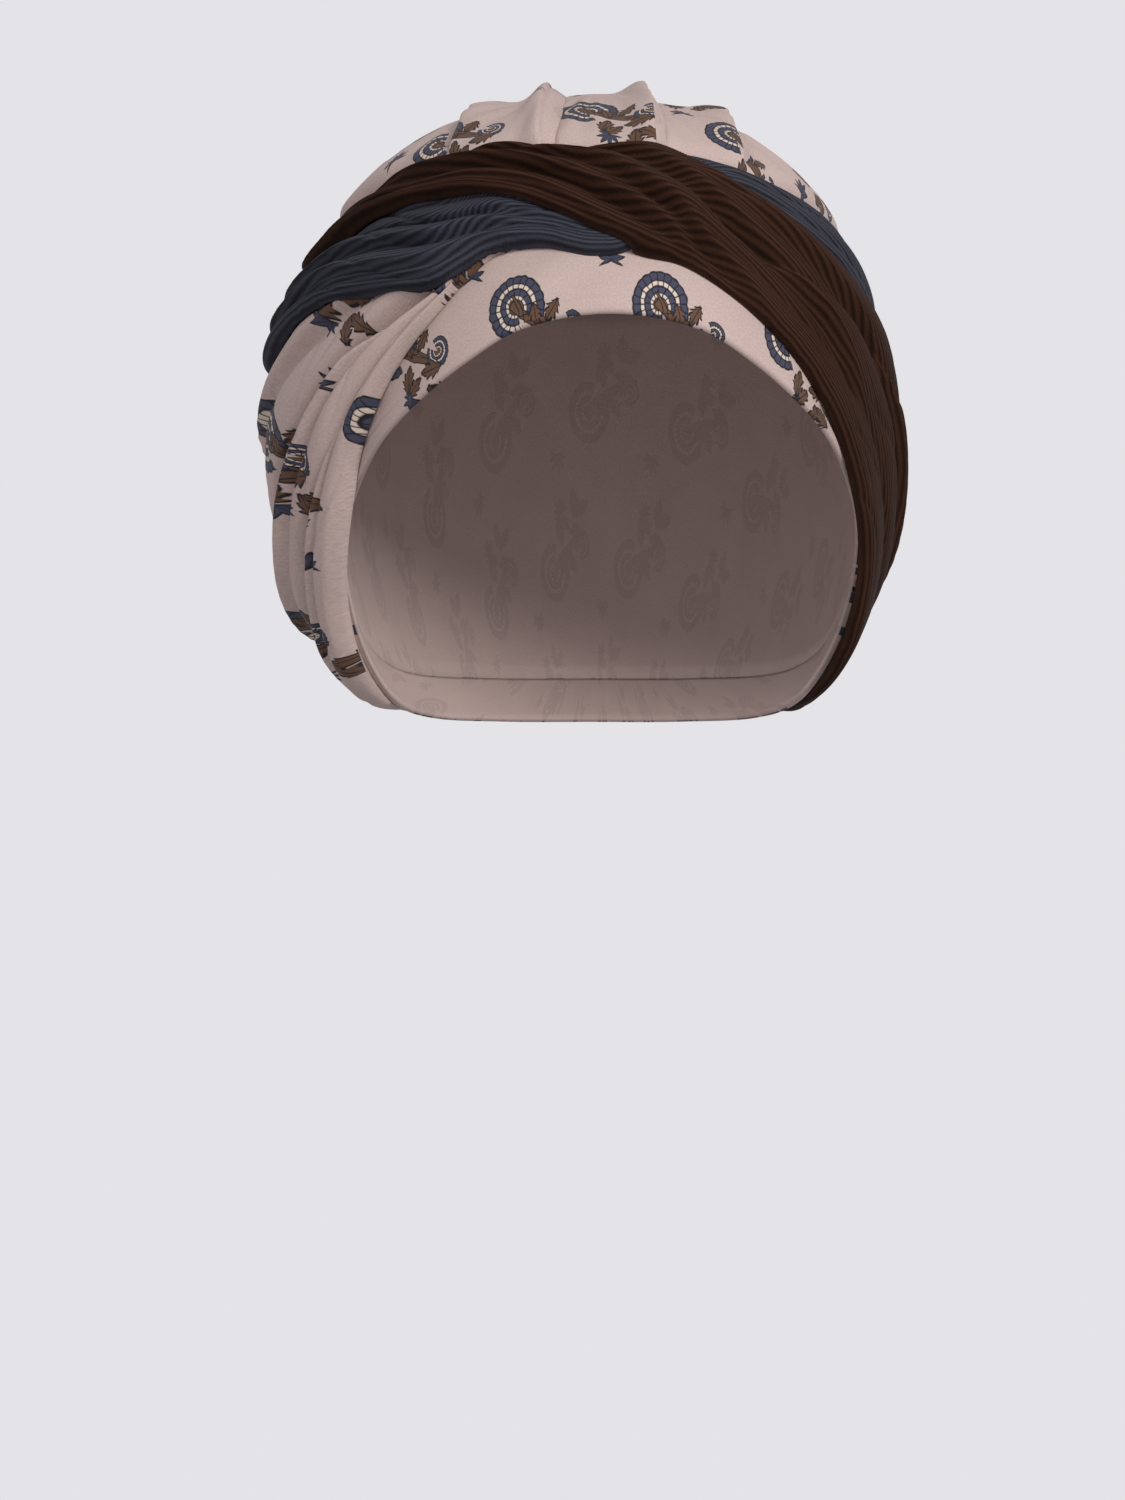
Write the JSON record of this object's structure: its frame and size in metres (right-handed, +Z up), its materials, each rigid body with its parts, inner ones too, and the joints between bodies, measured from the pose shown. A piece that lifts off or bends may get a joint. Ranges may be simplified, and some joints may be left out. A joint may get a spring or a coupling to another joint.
{
  "type": "turban headwrap",
  "caption": "Pull-on turban headwrap: a gathered jersey crown, a folded brim round the face, and wound printed and plain strands that cross at the front and back",
  "frame": {"origin": "the top of the wearer's head, where the inside of the crown rests on it", "axes": "+Z up, the wearer faces -Y, the wearer's left is +X"},
  "size_m": [0.1887, 0.2081, 0.1884],
  "materials": {
    "printed_jersey": "matt printed stretch jersey",
    "navy_crinkle_jersey": "matt crinkled rib jersey",
    "brown_crinkle_jersey": "matt crinkled rib jersey"
  },
  "bodies": {
    "root": {"crown": "printed_jersey", "brim": "printed_jersey", "print_band": "printed_jersey", "navy_band": "navy_crinkle_jersey", "brown_band": "brown_crinkle_jersey"}
  },
  "joints": []
}
